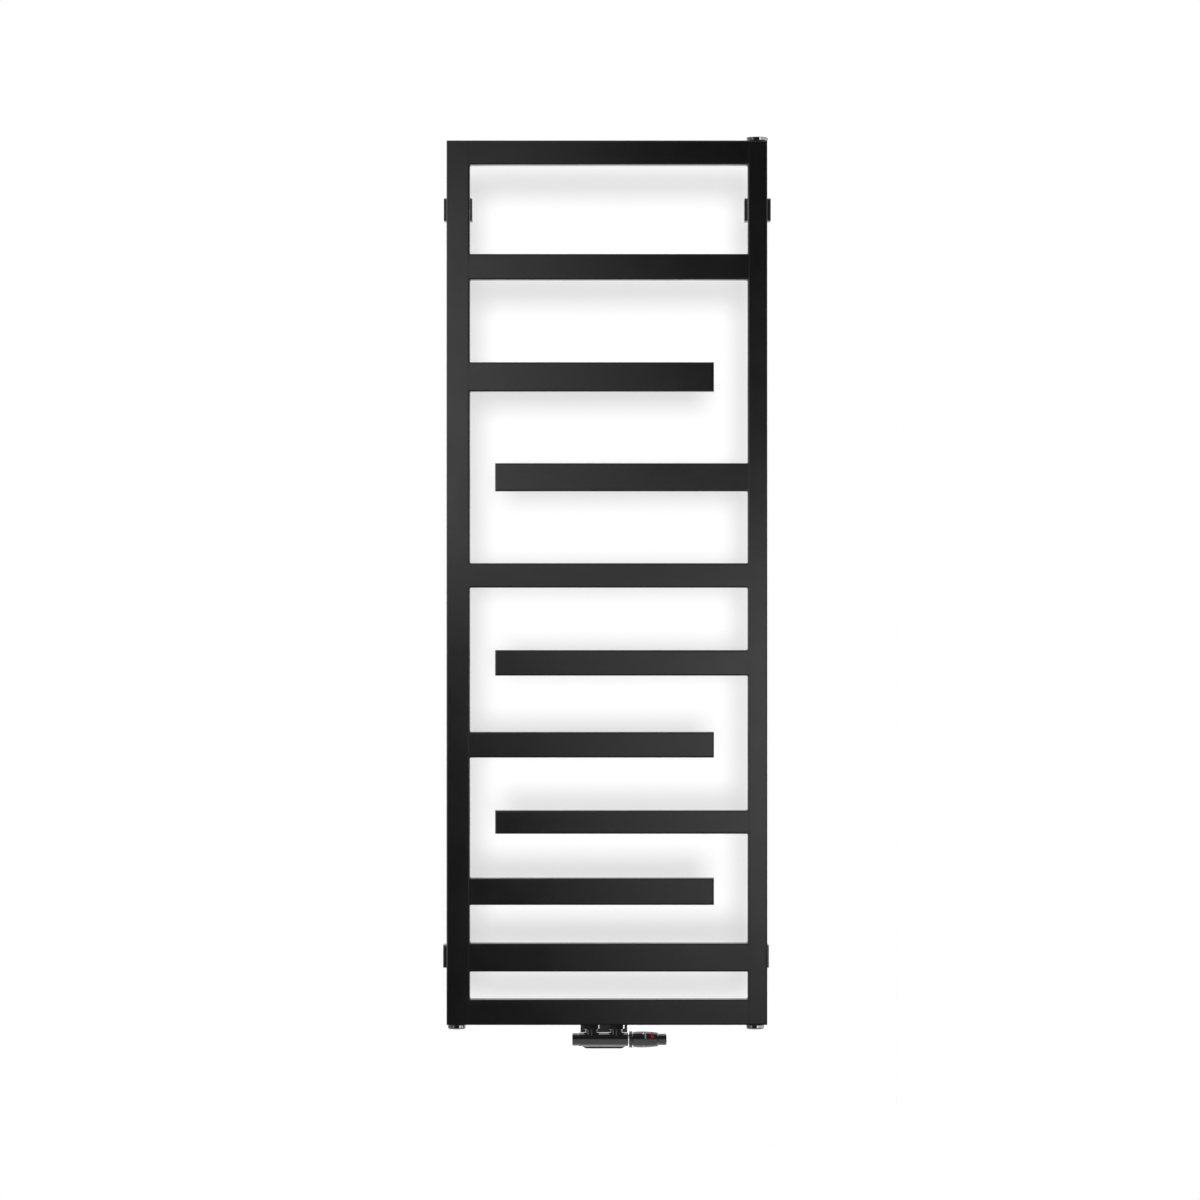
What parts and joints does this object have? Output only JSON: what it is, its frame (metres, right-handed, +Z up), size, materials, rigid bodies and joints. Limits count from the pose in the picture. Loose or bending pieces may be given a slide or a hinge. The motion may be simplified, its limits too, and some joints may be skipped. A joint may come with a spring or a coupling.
{
  "type": "towel radiator",
  "caption": "Wall-hung towel radiator with flat bars open on alternate sides, wall brackets and a thermostatic valve set.",
  "frame": {"origin": "middle of the four wall screws, on the wall plane", "axes": "+Z up, -Y out of the wall towards the user, +X to the user's right"},
  "size_m": [0.6563, 0.0917, 1.8262],
  "materials": {
    "tube_black": "satin black powder coat",
    "bracket_black": "satin black",
    "chrome": "polished chrome",
    "valve_black": "gloss black over brass",
    "handle_black": "gloss black",
    "rosette_black": "semi-gloss brownish black",
    "red_plastic": "gloss red",
    "brass": "machined brass",
    "nickel": "nickel-plated brass",
    "steel": "zinc-plated steel",
    "rubber": "matt black",
    "aluminium": "bright"
  },
  "bodies": {
    "wall_side": {"left_wall_anchors": "steel", "right_wall_anchors": "steel", "rosette": "rosette_black", "pipe_sleeves": "valve_black"},
    "radiator": {"left_collector": "tube_black", "right_collector": "tube_black", "bottom_bar": "tube_black", "bar_1": "tube_black", "bar_2": "tube_black", "bar_3": "tube_black", "bar_4": "tube_black", "bar_5": "tube_black", "bar_6": "tube_black", "bar_7": "tube_black", "bar_8": "tube_black", "bar_9": "tube_black", "top_bar": "tube_black", "bar_end_caps": "tube_black", "top_left_end_plate": "tube_black", "top_right_end_plate": "tube_black", "bottom_left_end_plate": "tube_black", "bottom_right_end_plate": "tube_black", "connection_sockets": "steel", "flow_baffle": "steel", "left_plug": "chrome", "right_plug": "chrome", "thread_seals": "rubber", "vent_body": "chrome", "mounting_studs": "steel", "mounting_nuts": "steel", "upper_left_cover": "bracket_black", "upper_right_cover": "bracket_black", "lower_left_cover": "bracket_black", "lower_right_cover": "bracket_black", "locking_screws": "steel", "valve_body": "valve_black", "union_nuts": "valve_black", "tailpieces": "brass", "union_washers": "rubber", "pipe_nuts": "valve_black", "pipe_olives": "brass", "lockshield_housing": "valve_black", "thermostat_insert": "nickel", "pin_spring": "steel", "gland_seals": "rubber", "head_nut": "valve_black", "head_base": "handle_black"},
    "handle": {"head_handle": "handle_black", "handle_end_cap": "handle_black", "red_mark": "red_plastic"},
    "thermostat_stem": {"valve_pin": "steel", "disc_washer": "rubber", "sensor_capsule": "aluminium", "overtravel_spring": "steel"},
    "lockshield_cap": {"lockshield_cap": "valve_black"},
    "lockshield_spindle": {"lockshield_spindle": "steel"},
    "lockshield_cone": {"lockshield_cone": "brass"},
    "bleed_screw": {"vent_screw": "chrome"}
  },
  "joints": [
    {"name": "bracket_reach", "type": "slide", "parent": "wall_side", "child": "radiator", "axis": [0, -1, 0], "range_m": [0, 0.012]},
    {"name": "head_turn", "type": "hinge", "parent": "radiator", "child": "handle", "pos_m": [-0.00788, -0.07, -0.912], "axis": [1, 0, 0], "range_deg": [-185, 115]},
    {"name": "sensor_travel", "type": "slide", "parent": "radiator", "child": "thermostat_stem", "axis": [1, 0, 0], "range_m": [-0.00247, 0.00153], "deforming": ["pin_spring", "overtravel_spring"]},
    {"name": "cap_pull", "type": "slide", "parent": "radiator", "child": "lockshield_cap", "axis": [-1, 0, 0], "range_m": [0, 0.015]},
    {"name": "lockshield_turn", "type": "hinge", "parent": "radiator", "child": "lockshield_spindle", "pos_m": [-0.00788, -0.07, -0.912], "axis": [1, 0, 0], "range_deg": [0, 690]},
    {"name": "cone_travel", "type": "slide", "parent": "radiator", "child": "lockshield_cone", "axis": [1, 0, 0], "range_m": [0, 0.00239]},
    {"name": "bleed_turn", "type": "hinge", "parent": "radiator", "child": "bleed_screw", "pos_m": [0.29812, -0.07, 0.883], "axis": [0, 0, 1], "range_deg": [0, 540]}
  ],
  "couplings": [
    {"joint": "head_turn", "follows": "sensor_travel", "rad_per_m": 1309},
    {"joint": "lockshield_turn", "follows": "cone_travel", "rad_per_m": 5026.5}
  ]
}
